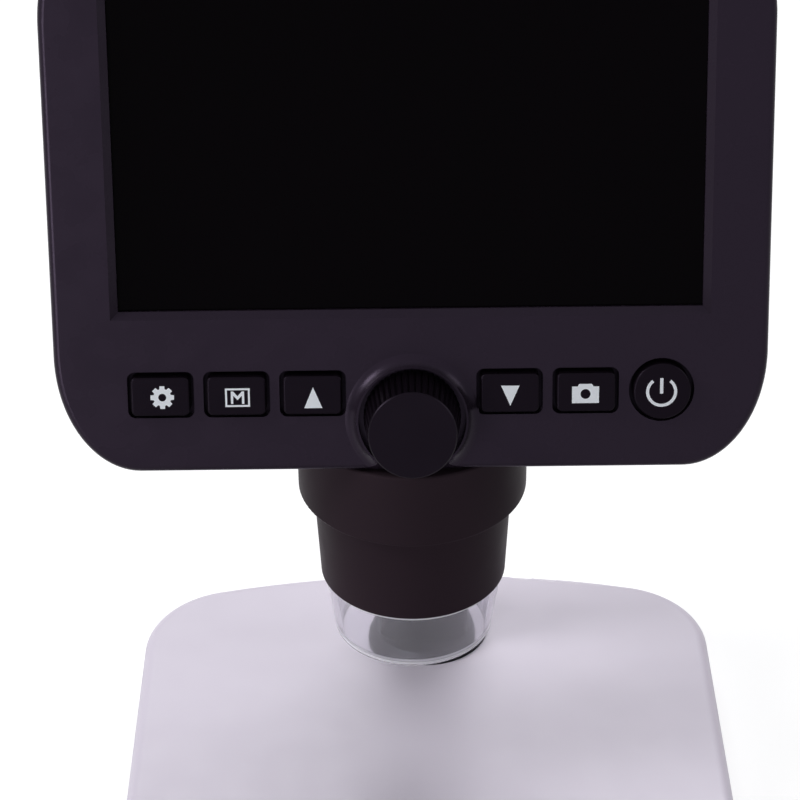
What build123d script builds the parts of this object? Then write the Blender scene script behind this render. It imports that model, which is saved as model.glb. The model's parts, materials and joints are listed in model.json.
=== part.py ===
"""Desktop LCD digital microscope: a tilted 4.3 inch display head on a white base board.

Millimetres. +X is to the user's right, +Y away from the user and +Z up. The origin is on the
floor, straight below the optical axis, which is the line x = y = 0.
"""
import os
from math import atan2, cos, pi, radians, sin, tan

from build123d import *

os.makedirs("parts", exist_ok=True)

# ---------------------------------------------------------------- driving dimensions
# Levels and stance
base_height = 11.2          # base board, floor pad not counted
pad_thickness = 0.8         # rubber pad under the base
working_gap = 29.9          # stage to the clear tip, in the stored position
stand_shift = 2.6           # base board and post stand this far to the right of the optical axis
head_shift = -0.15          # middle of the face, from the knob and the optical axis
running_gap = 0.3           # between pieces that move past each other
seat_gap = 0.1              # between pieces that are only placed together

# Optical column, from its lower end up
tip_height = 12.38
tip_end_radius = 14.42
tip_top_radius = 16.2
tip_wall = 1.5
tip_lip = 3.0               # part of the tip that slips into the barrel
barrel_end_radius = 16.7
barrel_radius = 17.65
barrel_taper_height = 18.25
barrel_wall = 1.3
ring_radius = 20.25
ring_height = 14.38
ring_below_head = 0.35
neck_radius = 14.0
guide_radius = 7.08
guide_wall = 1.9

# Head
face_tilt = 17.58           # degrees the face leans back from the vertical
face_ahead = 16.0           # knob centre on the face, ahead of the optical axis
head_side_margin = 11.0     # face beside the window
head_top_margin = 11.11
head_below_knob = 9.37
corner_reach = 14.0         # elliptical corners: width and height of the quarter
corner_rise = 20.0
head_depth = 20.0
split_depth = 9.0
shell_wall = 2.0
front_edge_round = 1.2
back_edge_round = 3.0
hump_radius = 19.5          # rounded housing behind the head, round the optics
hump_top = 36.0             # above the knob centre

# Display
window_half_width = 48.6
window_bottom = 18.6
window_height = 56.19
bevel = 1.2
lens_thickness = 1.1
lens_margin = 2.0           # glue border round the window
lcd_side_border = 4.15      # panel past the window's edges
lcd_low_border = 5.0
lcd_high_border = 6.01
lcd_thickness = 2.9

# Keys
key_level = 4.55            # key centres above the knob centre
key_pitch = 12.7
first_key = 16.45
well_width = 11.1
well_height = 7.95
well_corner = 1.3
power_well_radius = 5.47
key_gap = 0.65
key_stand = 1.2             # caps stand out of the face by this much
key_round = 0.35
key_skirt = 0.3             # retaining flange, past the well's edge
key_flange = 0.8
key_stem_radius = 1.25
key_travel = 0.4
switch_size = 6.0
switch_body = 1.5
switch_button_radius = 1.6
switch_button = 0.7

# Focus drive
knob_radius = 7.35
knob_root_radius = 8.2
knob_stand = 10.4
knob_sink = 0.9
knob_ribs = 44
knob_rib_depth = 0.32
knob_rim = 0.4
knob_hole_radius = 9.05
collar_rise = 1.5           # raised rim of the face round the knob
collar_flare = 2.2
knob_floor = 1.2            # depth of the recess under the knob
cup_wall = 0.95
bush_radius = 3.0
bush_boss_wall = 1.2
bush_end = 6.0              # depth under the face
shaft_radius = 1.5
shaft_fit = 0.05
tooth_module = 0.4
pinion_teeth = 18
mesh_clearance = 0.15
pinion_start = 6.6
pinion_width = 3.9
focus_travel = 5.27         # either way
carrier_radius = 7.0
carrier_bore = 5.5
sensor_rise = 11.5          # image sensor above the knob centre

# Stand
base_half_width = 56.6
base_back = 53.6
base_front = -108.0
base_edge_bow = 180.0       # radius of the bowed front and back edges
base_corner = 18.5
base_wall = 2.5
base_edge_round = 2.3
post_width = 19.2
post_depth = 13.0
post_round = 4.0
post_front = 28.5
foot_radius = 12.4          # round collar at the foot of the post
foot_top_radius = 10.9
foot_height = 4.0
foot_edge = 1.0
foot_sink = 0.6             # recess of the foot in the base board
post_top = 133.0
post_wall = 2.4
post_sink = 7.0
sleeve_wall = 4.0
sleeve_height = 28.0
sleeve_drop = 2.4           # sleeve's lower end, below the ring's
lock_knob_radius = 9.5
lock_knob_width = 11.0
lock_screw_radius = 2.5
lock_level = 14.0           # above the sleeve's lower end

# ---------------------------------------------------------------- derived places
lean = radians(face_tilt)
stage_level = pad_thickness + base_height
tip_level = stage_level + working_gap
barrel_level = tip_level + tip_height
head_half_width = window_half_width + head_side_margin
window_top = window_bottom + window_height
head_above_knob = window_top + head_top_margin
ring_level = barrel_level + barrel_taper_height
ring_top = ring_level + ring_height
head_level = ring_top + ring_below_head
knob_level = head_level + head_below_knob * cos(lean)
head_top = knob_level + head_above_knob * cos(lean)
floor_level = head_level + shell_wall
outward = Vector(0, -cos(lean), sin(lean))
window_centre = (window_bottom + window_top) / 2
lcd_width = 2 * (window_half_width + lcd_side_border)
lcd_height = window_height + lcd_low_border + lcd_high_border
lcd_centre = window_bottom - lcd_low_border + lcd_height / 2
lens_front = shell_wall
lcd_front = lens_front + lens_thickness
post_centre = post_front + post_depth / 2
sleeve_level = ring_level - sleeve_drop


def face_plane(depth=0.0):
    """The face's plane, set back square to the face. Its origin is on the knob's axis."""
    start = Vector(0, -face_ahead, knob_level) - outward * depth
    return Plane(origin=start, x_dir=(1, 0, 0), z_dir=outward)


def head_plane(depth=0.0):
    """The face's plane, about the middle of the head in place of the knob."""
    spot = face_plane(depth)
    return Plane(origin=spot.origin + Vector(head_shift, 0, 0), x_dir=(1, 0, 0), z_dir=outward)


def level_plane(depth=0.0):
    """The head's face plane, set back level, so that a height on it stays the same height."""
    start = (head_shift, -face_ahead + depth / cos(lean), knob_level)
    return Plane(origin=start, x_dir=(1, 0, 0), z_dir=outward)


def upright(level, x=0.0, y=0.0):
    """A level plane at a height."""
    return Plane(origin=(x, y, level), x_dir=(1, 0, 0), z_dir=(0, 0, 1))


def finish(part, label):
    """Names a finished piece and writes it."""
    part.label = label
    export_step(part, f"parts/{label}.step")


# ---------------------------------------------------------------- stand
def base_outline(inset):
    """Base board seen from above: straight sides, bowed ends and large round corners."""
    half = base_half_width - inset
    bow = base_edge_bow
    drop = bow - (bow ** 2 - half ** 2) ** 0.5
    with BuildLine() as outline:
        RadiusArc((-half, base_back - inset - drop), (half, base_back - inset - drop), bow)
        Line((half, base_back - inset - drop), (half, base_front + inset + drop))
        RadiusArc((half, base_front + inset + drop), (-half, base_front + inset + drop), bow)
        Line((-half, base_front + inset + drop), (-half, base_back - inset - drop))
    with BuildSketch() as shape:
        add(outline.line)
        make_face()
        fillet(shape.vertices(), base_corner - inset)
    return shape.sketch


base_middle = (base_back + base_front) / 2
plate_thickness = 1.6
plate_inset = base_wall + 0.2
ballast_thickness = 4.0
ballast_size = (70.0, 88.0)
ballast_middle = base_middle - 12.0
pad_inset = plate_inset + 2.0
screw_side_inset = 10.2
screw_end_inset = base_corner + 6.0
screw_reach = (base_half_width - screw_side_inset, (base_back - base_front) / 2 - screw_end_inset)
screw_places = [(sx * screw_reach[0], base_middle + sy * screw_reach[1]) for sx in (-1, 1) for sy in (-1, 1)]
screw_boss_radius = 3.6
base_screw_length = 6.0
post_screw_length = 9.0
screw_radius = 1.5
screw_head_radius = 2.8
screw_head = 1.2
post_screw_inset = 4.6
post_screw_places = [(side * (post_width / 2 - post_screw_inset), post_centre) for side in (-1, 1)]
post_screw_radius = 1.6
socket_wall = 3.0
plate_level = pad_thickness
inner_level = plate_level + plate_thickness
post_level = stage_level - post_sink
foot_level = stage_level - foot_sink

with BuildPart() as base_shell:
    with BuildSketch(upright(plate_level, stand_shift)):
        add(base_outline(0))
    extrude(amount=base_height)
    fillet(base_shell.faces().sort_by(Axis.Z)[-1].edges(), base_edge_round)
    with BuildSketch(upright(plate_level, stand_shift)):
        add(base_outline(base_wall))
    extrude(amount=base_height - base_wall, mode=Mode.SUBTRACT)
    with BuildSketch(upright(inner_level, stand_shift)):
        with Locations(screw_places):
            Circle(screw_boss_radius)
    extrude(amount=base_height - plate_thickness - base_wall / 2)
    with BuildSketch(upright(inner_level, stand_shift, post_centre)):
        Rectangle(post_width + 2 * socket_wall, post_depth + 2 * socket_wall)
    extrude(amount=base_height - plate_thickness - base_wall / 2)
    with BuildSketch(upright(post_level, stand_shift, post_centre)):
        Rectangle(post_width + 2 * seat_gap, post_depth + 2 * seat_gap)
    extrude(amount=post_sink + 1, mode=Mode.SUBTRACT)
    with BuildSketch(upright(foot_level, stand_shift, post_centre)):
        Circle(foot_radius + seat_gap)
    extrude(amount=foot_sink, mode=Mode.SUBTRACT)
    with BuildSketch(upright(inner_level, stand_shift)):
        with Locations(screw_places):
            Circle(screw_radius)
    extrude(amount=base_screw_length, mode=Mode.SUBTRACT)
    with BuildSketch(upright(inner_level, stand_shift)):
        with Locations(post_screw_places):
            Circle(post_screw_radius + seat_gap)
    extrude(amount=post_sink, mode=Mode.SUBTRACT)
finish(base_shell.part, "base_shell")

with BuildPart() as base_plate:
    with BuildSketch(upright(plate_level, stand_shift)):
        add(base_outline(plate_inset))
    extrude(amount=plate_thickness)
    with BuildSketch(upright(plate_level, stand_shift)):
        with Locations(screw_places):
            Circle(screw_radius + seat_gap)
    extrude(amount=plate_thickness, mode=Mode.SUBTRACT)
    with BuildSketch(upright(plate_level, stand_shift)):
        with Locations(post_screw_places):
            Circle(screw_head_radius + seat_gap)
    extrude(amount=plate_thickness, mode=Mode.SUBTRACT)
finish(base_plate.part, "base_plate")

with BuildPart() as ballast:
    with BuildSketch(upright(inner_level, stand_shift, ballast_middle)):
        RectangleRounded(*ballast_size, 4)
    extrude(amount=ballast_thickness)
finish(ballast.part, "ballast_plate")

with BuildPart() as pad:
    with BuildSketch(upright(0, stand_shift)):
        add(base_outline(pad_inset))
        with Locations(screw_places):
            Circle(screw_head_radius + 0.6, mode=Mode.SUBTRACT)
        with Locations((0, post_centre)):
            Rectangle(post_width, post_depth, mode=Mode.SUBTRACT)
    extrude(amount=pad_thickness)
finish(pad.part, "anti_slip_pad")


def pan_screw(place, level, shank, radius, head_radius, head):
    """A screw with a round cross-slotted head below the level and its shank above it."""
    shank_part = Cylinder(radius, shank, align=(Align.CENTER, Align.CENTER, Align.MIN))
    head_part = Cylinder(head_radius, head, align=(Align.CENTER, Align.CENTER, Align.MAX))
    slot_size = head_radius * 1.1
    slot = Box(slot_size, head / 3, head / 2, align=(Align.CENTER, Align.CENTER, Align.MIN))
    cross = slot + Rot(0, 0, 90) * slot
    screw = shank_part + head_part - Pos(0, 0, -head) * cross
    return Pos(place[0], place[1], level) * screw


base_screw_set = [
    pan_screw((stand_shift + x, y), plate_level, base_screw_length, screw_radius, screw_head_radius,
              pad_thickness - seat_gap)
    for x, y in screw_places
]
finish(Compound(children=base_screw_set), "base_screws")

post_screw_set = [
    pan_screw((stand_shift + x, y), inner_level, post_screw_length, post_screw_radius, screw_head_radius,
              screw_head)
    for x, y in post_screw_places
]
finish(Compound(children=post_screw_set), "post_screws")

groove_width = 3.0
groove_depth = 1.2
post_core = 4.6
with BuildPart() as post:
    with BuildSketch(upright(post_level, stand_shift, post_centre)):
        RectangleRounded(post_width, post_depth, post_round)
        with Locations((-post_width / 2, 0), (post_width / 2, 0)):
            Rectangle(2 * groove_depth, groove_width, mode=Mode.SUBTRACT)
        Rectangle(post_core, post_depth - 2 * post_wall, mode=Mode.SUBTRACT)
        with Locations([(x, y - post_centre) for x, y in post_screw_places]):
            Circle(post_screw_radius, mode=Mode.SUBTRACT)
    extrude(amount=post_top - post_level)
finish(post.part, "post")

with BuildPart() as post_foot:
    with BuildSketch(upright(foot_level, stand_shift, post_centre)):
        Circle(foot_radius)
    extrude(amount=foot_sink + foot_edge)
    with BuildSketch(upright(stage_level + foot_edge, stand_shift, post_centre)):
        Circle(foot_radius)
    with BuildSketch(upright(stage_level + foot_height, stand_shift, post_centre)):
        Circle(foot_top_radius)
    loft()
    with BuildSketch(upright(foot_level, stand_shift, post_centre)):
        RectangleRounded(post_width + 2 * seat_gap, post_depth + 2 * seat_gap, post_round + seat_gap)
    extrude(amount=foot_sink + foot_height, mode=Mode.SUBTRACT)
finish(post_foot.part, "post_foot")

cap_thickness = 2.0
with BuildPart() as post_cap:
    with BuildSketch(upright(post_top, stand_shift, post_centre)):
        RectangleRounded(post_width, post_depth, post_round)
    extrude(amount=cap_thickness)
    fillet(post_cap.faces().sort_by(Axis.Z)[-1].edges(), 0.8)
finish(post_cap.part, "post_cap")


# ---------------------------------------------------------------- carriage on the post
sleeve_top = sleeve_level + sleeve_height
sleeve_bore_round = post_round + running_gap
sleeve_front = post_front - running_gap - sleeve_wall
sleeve_back = post_front + post_depth + running_gap + sleeve_wall
arm_width = 19.0
arm_height = ring_height - 2.0
pad_width = 9.0
pad_height = 12.0
pad_depth = 1.4
lock_height = sleeve_level + lock_level
lock_boss_radius = 6.5
lock_boss = 3.5
grub_radius = 1.5
grub_angles = (38, 142)
grub_height = ring_level + ring_height / 2


def lock_plane(place):
    """A plane square to the lock screw, facing away from the user."""
    return Plane(origin=(stand_shift, place, lock_height), x_dir=(1, 0, 0), z_dir=(0, 1, 0))


with BuildPart() as carriage:
    with BuildSketch(upright(ring_level)):
        Circle(ring_radius)
    extrude(amount=ring_height)
    edge_rings = carriage.edges().filter_by(GeomType.CIRCLE)
    fillet(edge_rings, 0.5)
    with BuildSketch(upright(ring_level + 1.0, stand_shift / 2, sleeve_front / 2 + 5)):
        Rectangle(arm_width, sleeve_front - 10 + 0.5)
    extrude(amount=arm_height)
    with BuildSketch(upright(sleeve_level, stand_shift, post_centre)):
        RectangleRounded(post_width + 2 * (running_gap + sleeve_wall),
                         post_depth + 2 * (running_gap + sleeve_wall), sleeve_bore_round + sleeve_wall)
    extrude(amount=sleeve_height)
    with BuildSketch(lock_plane(sleeve_back - 1)):
        Circle(lock_boss_radius)
    extrude(amount=lock_boss + 1)
    with BuildSketch(upright(sleeve_level, stand_shift, post_centre)):
        RectangleRounded(post_width + 2 * running_gap, post_depth + 2 * running_gap, sleeve_bore_round)
    extrude(amount=sleeve_height, mode=Mode.SUBTRACT)
    with BuildSketch(upright(ring_level)):
        Circle(barrel_radius + seat_gap)
    extrude(amount=ring_height, mode=Mode.SUBTRACT)
    with BuildSketch(lock_plane(post_centre)):
        Circle(lock_screw_radius + shaft_fit)
    extrude(amount=post_depth * 2, mode=Mode.SUBTRACT)
    with BuildSketch(lock_plane(post_centre)):
        Rectangle(pad_width + 2 * seat_gap, pad_height + 2 * seat_gap)
    extrude(amount=post_depth / 2 + pad_depth + seat_gap, mode=Mode.SUBTRACT)
    for angle in grub_angles:
        along = Vector(cos(radians(angle)), sin(radians(angle)), 0)
        with BuildSketch(Plane(origin=(0, 0, grub_height), z_dir=along)):
            Circle(grub_radius)
        extrude(amount=ring_radius + 1, mode=Mode.SUBTRACT)
finish(carriage.part, "carriage")

with BuildPart() as brake_pad:
    with BuildSketch(lock_plane(post_front + post_depth + shaft_fit)):
        RectangleRounded(pad_width, pad_height, 1)
    extrude(amount=pad_depth)
finish(brake_pad.part, "brake_pad")

grubs = []
for angle in grub_angles:
    along = Vector(cos(radians(angle)), sin(radians(angle)), 0)
    with BuildPart() as grub:
        with BuildSketch(Plane(origin=along * barrel_radius + Vector(0, 0, grub_height), z_dir=along)):
            Circle(grub_radius)
        extrude(amount=ring_radius - barrel_radius - 0.4)
        with BuildSketch(Plane(origin=along * (ring_radius - 0.4) + Vector(0, 0, grub_height), z_dir=along)):
            RegularPolygon(grub_radius * 0.55, 6)
        extrude(amount=-1.0, mode=Mode.SUBTRACT)
    grubs.append(grub.part)
finish(Compound(children=grubs), "ring_grub_screws")

lock_start = post_front + post_depth + shaft_fit + pad_depth + 0.05
knob_start = sleeve_back + lock_boss + running_gap
lock_ribs = 20
with BuildPart() as lock_screw:
    with BuildSketch(lock_plane(lock_start)):
        Circle(lock_screw_radius)
    extrude(amount=knob_start + lock_knob_width * 0.7 - lock_start)
finish(lock_screw.part, "lock_screw")

with BuildPart() as lock_knob:
    with BuildSketch(lock_plane(knob_start)):
        Circle(lock_boss_radius)
    extrude(amount=2)
    with BuildSketch(lock_plane(knob_start + 2)):
        Circle(lock_knob_radius)
        with PolarLocations(lock_knob_radius + 0.5, lock_ribs):
            Circle(1.0, mode=Mode.SUBTRACT)
    extrude(amount=lock_knob_width - 2)
    with BuildSketch(lock_plane(knob_start)):
        Circle(lock_screw_radius)
    extrude(amount=lock_knob_width * 0.7, mode=Mode.SUBTRACT)
finish(lock_knob.part, "lock_knob")


# ---------------------------------------------------------------- head shells
def head_outline(inset):
    """Front view of the head: a rectangle with tall elliptical corners."""
    half = head_half_width - inset
    low = inset - head_below_knob
    high = head_above_knob - inset
    reach = corner_reach - inset
    rise = corner_rise - inset
    with BuildLine() as outline:
        EllipticalCenterArc((half - reach, high - rise), reach, rise, 0, arc_size=90)
        Line((half - reach, high), (reach - half, high))
        EllipticalCenterArc((reach - half, high - rise), reach, rise, 90, arc_size=90)
        Line((-half, high - rise), (-half, low + rise))
        EllipticalCenterArc((reach - half, low + rise), reach, rise, 180, arc_size=90)
        Line((reach - half, low), (half - reach, low))
        EllipticalCenterArc((half - reach, low + rise), reach, rise, 270, arc_size=90)
        Line((half, low + rise), (half, high - rise))
    with BuildSketch() as shape:
        add(outline.line)
        make_face()
    return shape.sketch


def level_run(depth):
    """Length along +Y that goes a depth square to the face."""
    return depth / cos(lean)


back = (0, 1, 0)
rect_key_places = [side * (first_key + step * key_pitch) for side, step in
                   ((-1, 2), (-1, 1), (-1, 0), (1, 0), (1, 1))]
rect_key_names = ["key_settings", "key_mode", "key_up", "key_down", "key_camera"]
power_key_place = first_key + 2 * key_pitch
boss_radius = 2.4
boss_hole = 0.8
low_boss = (head_half_width - 7.95, 8.5)
high_boss = (head_half_width - 3.95, window_top - 5.0)
corner_bosses = [(side * x, v) for x, v in (low_boss, high_boss) for side in (-1, 1)]
board_boss_radius = 1.6
board_boss_rise = 6.8        # from the head's lower edge
board_boss_level = board_boss_rise - head_below_knob
board_bosses = [(side * x, board_boss_level) for side in (-1, 1)
                for x in (first_key + key_pitch / 2, head_half_width - 13.35)]
key_board_depth = shell_wall + 5.2
cup_radius = knob_hole_radius + cup_wall
cup_end = knob_floor + 2.0
boss_outer = bush_radius + bush_boss_wall
edge_turn = (pi / 2 - lean) / 2         # half the angle of the head's lower front edge
edge_outward = (outward + Vector(0, 0, -1)).normalized()
edge_round_cut = 0.02 - front_edge_round * (1 / sin(edge_turn) - 1)
lower_edge = face_plane().origin - face_plane().y_dir * head_below_knob

# screw bosses, with nothing outside the middle of the shell's wall
with BuildPart() as bezel_bosses:
    with BuildSketch(head_plane(split_depth)):
        with Locations(corner_bosses):
            Circle(boss_radius)
    extrude(amount=split_depth - shell_wall / 2)
    with BuildSketch(level_plane()):
        add(head_outline(shell_wall / 2))
    extrude(amount=level_run(split_depth), dir=back, mode=Mode.INTERSECT)

with BuildPart() as bezel:
    with BuildSketch(level_plane()):
        add(head_outline(0))
    extrude(amount=level_run(split_depth), dir=back)
    front = bezel.faces().filter_by(Axis(origin=(0, 0, 0), direction=tuple(outward)))
    fillet(front.sort_by(Axis.Y)[0].edges(), front_edge_round)
    with BuildSketch(level_plane(shell_wall)):
        add(head_outline(shell_wall))
    extrude(amount=level_run(split_depth - shell_wall), dir=back, mode=Mode.SUBTRACT)
    add(bezel_bosses.part)
    # key board pillars
    with BuildSketch(head_plane(key_board_depth)):
        with Locations(board_bosses):
            Circle(board_boss_radius)
    extrude(amount=key_board_depth - shell_wall / 2)
    # cup for the knob and boss for its bush
    with BuildSketch(face_plane(cup_end)):
        Circle(cup_radius)
    extrude(amount=cup_end - shell_wall / 2)
    with BuildSketch(face_plane(bush_end)):
        Circle(boss_outer)
    extrude(amount=bush_end - shell_wall / 2)
    # flared rim round the knob
    with BuildSketch(Plane(origin=face_plane().origin, x_dir=(1, 0, 0),
                           z_dir=face_plane().y_dir * -1)):
        with BuildLine():
            rim = knob_hole_radius + 0.35
            toe = knob_hole_radius + collar_flare
            Polyline((0, -shell_wall / 2), (0, collar_rise), (rim, collar_rise))
            RadiusArc((rim, collar_rise), (toe, 0), -3.2)
            Polyline((toe, 0), (toe, -shell_wall / 2), (0, -shell_wall / 2))
        make_face()
    revolve(axis=Axis(origin=face_plane().origin, direction=outward))
    with BuildSketch(face_plane(knob_floor)):
        Circle(knob_hole_radius)
    extrude(amount=knob_floor + collar_rise + 1, mode=Mode.SUBTRACT)
    with BuildSketch(face_plane(bush_end)):
        Circle(bush_radius)
    extrude(amount=bush_end, mode=Mode.SUBTRACT)
    # nothing of the cup or rim reaches below the head's level underside
    with BuildSketch(upright(head_level, 0, -face_ahead)):
        Rectangle(4 * ring_radius, 4 * ring_radius)
    extrude(amount=-ring_radius, mode=Mode.SUBTRACT)
    # and both end just outside the rounded lower edge
    with BuildSketch(Plane(origin=lower_edge + edge_outward * edge_round_cut, x_dir=(1, 0, 0),
                           z_dir=edge_outward)):
        Rectangle(2 * toe, 2 * toe)
    extrude(amount=toe, mode=Mode.SUBTRACT)
    # window with a bevelled frame
    with BuildSketch(head_plane(shell_wall)):
        with Locations((0, window_centre)):
            Rectangle(2 * window_half_width, window_height)
    extrude(amount=shell_wall, mode=Mode.SUBTRACT)
    with BuildSketch(head_plane()):
        with Locations((0, window_centre)):
            Rectangle(2 * (window_half_width + bevel), window_height + 2 * bevel)
    extrude(amount=-bevel, taper=45, mode=Mode.SUBTRACT)
    # key wells
    with BuildSketch(head_plane(shell_wall)):
        with Locations([(x, key_level) for x in rect_key_places]):
            RectangleRounded(well_width, well_height, well_corner)
        with Locations((power_key_place, key_level)):
            Circle(power_well_radius)
    extrude(amount=shell_wall, mode=Mode.SUBTRACT)
    # neck of the optical barrel
    with BuildSketch(upright(head_level)):
        Circle(neck_radius + seat_gap)
    extrude(amount=shell_wall, mode=Mode.SUBTRACT)
    # pilot holes
    with BuildSketch(head_plane(split_depth)):
        with Locations(corner_bosses):
            Circle(boss_hole)
    extrude(amount=split_depth - shell_wall, mode=Mode.SUBTRACT)
    with BuildSketch(head_plane(key_board_depth)):
        with Locations(board_bosses):
            Circle(boss_hole)
    extrude(amount=key_board_depth - shell_wall, mode=Mode.SUBTRACT)
finish(bezel.part, "front_bezel")

back_wall_depth = head_depth - shell_wall
rear_boss_radius = 3.1
screw_shank = 1.1
screw_cap = 2.0
screw_cap_height = 1.3
screw_sink = 2.6
hump_round = 9.0
pillar_radius = 2.6
board_back = split_depth + 0.2
board_thickness = 1.2
board_half_width = head_half_width - 10.35
board_bottom = window_bottom + 3.0
board_top = head_above_knob - 5.9
pillar_inset = (4.0, 5.5)
board_pillars = [(sx * (board_half_width - pillar_inset[0]), v) for sx in (-1, 1)
                 for v in (board_bottom + pillar_inset[1], board_top - pillar_inset[1])]
usb_place, card_place = 34.0, 52.0
wheel_place, jack_place = 52.0, 34.0
port_gap = 0.3
usb_size = (8.0, 9.2, 4.0)      # along the wall, into the head, off the board
card_size = (12.4, 14.5, 1.9)
jack_size = (6.2, 12.0, 5.0)
jack_radius = 1.75
wheel_radius = 6.2
wheel_thickness = 2.2
wheel_out = 1.1
wheel_depth = board_back + 2.0
wheel_centre = head_half_width + wheel_out - wheel_radius


def side_plane(side, place, depth):
    """A plane square to the head's side wall, at a height up the face and a depth."""
    start = head_plane(depth).from_local_coords((side * (head_half_width + 1), place, 0))
    return Plane(origin=start, x_dir=head_plane().y_dir, z_dir=(side, 0, 0))


with BuildPart() as hump:
    with BuildSketch(upright(head_level)):
        Circle(hump_radius)
    extrude(amount=knob_level + hump_top - head_level)
    fillet(hump.faces().sort_by(Axis.Z)[-1].edges(), hump_round)
    with BuildSketch(face_plane(split_depth)):
        Rectangle(6 * hump_radius, 8 * hump_radius)
    extrude(amount=3 * hump_radius, mode=Mode.SUBTRACT)

with BuildPart() as hump_hollow:
    with BuildSketch(upright(floor_level)):
        Circle(hump_radius - shell_wall)
    extrude(amount=knob_level + hump_top - shell_wall - floor_level)
    fillet(hump_hollow.faces().sort_by(Axis.Z)[-1].edges(), hump_round - shell_wall)

with BuildPart() as rear:
    with BuildSketch(level_plane(split_depth)):
        add(head_outline(0))
    extrude(amount=level_run(head_depth - split_depth), dir=back)
    far_face = rear.faces().filter_by(Axis(origin=(0, 0, 0), direction=tuple(outward)))
    fillet(far_face.sort_by(Axis.Y)[-1].edges(), back_edge_round)
    add(hump.part)
    with BuildSketch(level_plane(split_depth)):
        add(head_outline(shell_wall))
    extrude(amount=level_run(back_wall_depth - split_depth), dir=back, mode=Mode.SUBTRACT)
    add(hump_hollow.part, mode=Mode.SUBTRACT)
    # screw bosses and main board pillars
    with BuildSketch(head_plane(split_depth)):
        with Locations(corner_bosses):
            Circle(rear_boss_radius)
    extrude(amount=-(back_wall_depth - split_depth + shell_wall / 2))
    with BuildSketch(head_plane(board_back + board_thickness)):
        with Locations(board_pillars):
            Circle(pillar_radius)
    extrude(amount=-(back_wall_depth - board_back - board_thickness + shell_wall / 2))
    with BuildSketch(head_plane(split_depth)):
        with Locations(corner_bosses):
            Circle(screw_shank + seat_gap)
    extrude(amount=-head_depth, mode=Mode.SUBTRACT)
    with BuildSketch(head_plane(head_depth + shell_wall)):
        with Locations(corner_bosses):
            Circle(screw_cap + port_gap)
    extrude(amount=shell_wall + screw_sink, mode=Mode.SUBTRACT)
    with BuildSketch(head_plane(board_back + board_thickness)):
        with Locations(board_pillars):
            Circle(boss_hole)
    extrude(amount=-5, mode=Mode.SUBTRACT)
    # nothing of the bosses stands outside the shell's outline
    with BuildSketch(level_plane(split_depth)):
        Rectangle(4 * head_half_width, 4 * head_above_knob)
        add(head_outline(0), mode=Mode.SUBTRACT)
    extrude(amount=level_run(head_depth - split_depth) * 0.6, dir=back, mode=Mode.SUBTRACT)
    # neck of the optical barrel
    with BuildSketch(upright(head_level)):
        Circle(neck_radius + seat_gap)
    extrude(amount=shell_wall, mode=Mode.SUBTRACT)
    # ports and the brightness wheel's slot
    with BuildSketch(side_plane(-1, usb_place, board_back + board_thickness + usb_size[2] / 2)):
        Rectangle(usb_size[0] + 2 * port_gap, usb_size[2] + 2 * port_gap)
    extrude(amount=-(shell_wall + 2), mode=Mode.SUBTRACT)
    with BuildSketch(side_plane(-1, card_place, board_back + board_thickness + card_size[2] / 2)):
        Rectangle(card_size[0] + 2 * port_gap, card_size[2] + 2 * port_gap)
    extrude(amount=-(shell_wall + 2), mode=Mode.SUBTRACT)
    with BuildSketch(side_plane(1, jack_place, board_back + board_thickness + jack_size[2] / 2)):
        Circle(jack_size[2] / 2 + port_gap)
    extrude(amount=-(shell_wall + 2), mode=Mode.SUBTRACT)
    with BuildSketch(side_plane(1, wheel_place, wheel_depth + wheel_thickness / 2)):
        Rectangle(1.85 * wheel_radius, wheel_thickness + 2 * running_gap)
    extrude(amount=-(shell_wall + 2), mode=Mode.SUBTRACT)
finish(rear.part, "rear_housing")


# ---------------------------------------------------------------- display and boards
with BuildPart() as cover_lens:
    with BuildSketch(head_plane(lens_front + lens_thickness)):
        with Locations((0, window_centre)):
            Rectangle(2 * (window_half_width + lens_margin), window_height + 2 * lens_margin)
    extrude(amount=lens_thickness)
finish(cover_lens.part, "cover_lens")

with BuildPart() as lcd:
    with BuildSketch(head_plane(lcd_front + lcd_thickness)):
        with Locations((0, lcd_centre)):
            Rectangle(lcd_width, lcd_height)
    extrude(amount=lcd_thickness)
finish(lcd.part, "lcd_panel")

chip_height = 1.4
with BuildPart() as main_board:
    with BuildSketch(head_plane(board_back + board_thickness)):
        with Locations((0, (board_bottom + board_top) / 2)):
            Rectangle(2 * board_half_width, board_top - board_bottom)
        with Locations(board_pillars):
            Circle(screw_shank, mode=Mode.SUBTRACT)
    extrude(amount=board_thickness)
    # processor, memory, power parts and connectors
    with BuildSketch(head_plane(board_back + board_thickness)):
        with Locations((11 - board_half_width, board_top - 18)):
            Rectangle(9, 9)
        with Locations((board_half_width - 11, board_top - 14), (board_half_width - 11, board_top - 6)):
            Rectangle(8, 5)
        with Locations([(side * board_half_width * 0.4, board_bottom + 5) for side in (-1, 1)]):
            Rectangle(12, 4)
    extrude(amount=-chip_height)
finish(main_board.part, "main_board")

battery_size = (58.0, 34.0, 5.2)
battery_centre = board_top - battery_size[1] / 2 - 5.0
with BuildPart() as battery:
    with BuildSketch(head_plane(back_wall_depth)):
        with Locations((0, battery_centre)):
            RectangleRounded(battery_size[0], battery_size[1], 2)
    extrude(amount=battery_size[2])
finish(battery.part, "battery")

pillar_screw_length = 4.0
small_head_radius = 1.6
small_head = 0.8
pillar_screws = []
for x, v in board_pillars:
    screw = pan_screw((0, 0), 0, pillar_screw_length, boss_hole, small_head_radius, small_head)
    spot = Plane(origin=head_plane(board_back).from_local_coords((x, v, 0)), x_dir=(1, 0, 0), z_dir=-outward)
    pillar_screws.append(spot.location * screw)
finish(Compound(children=pillar_screws), "main_board_screws")


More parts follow.
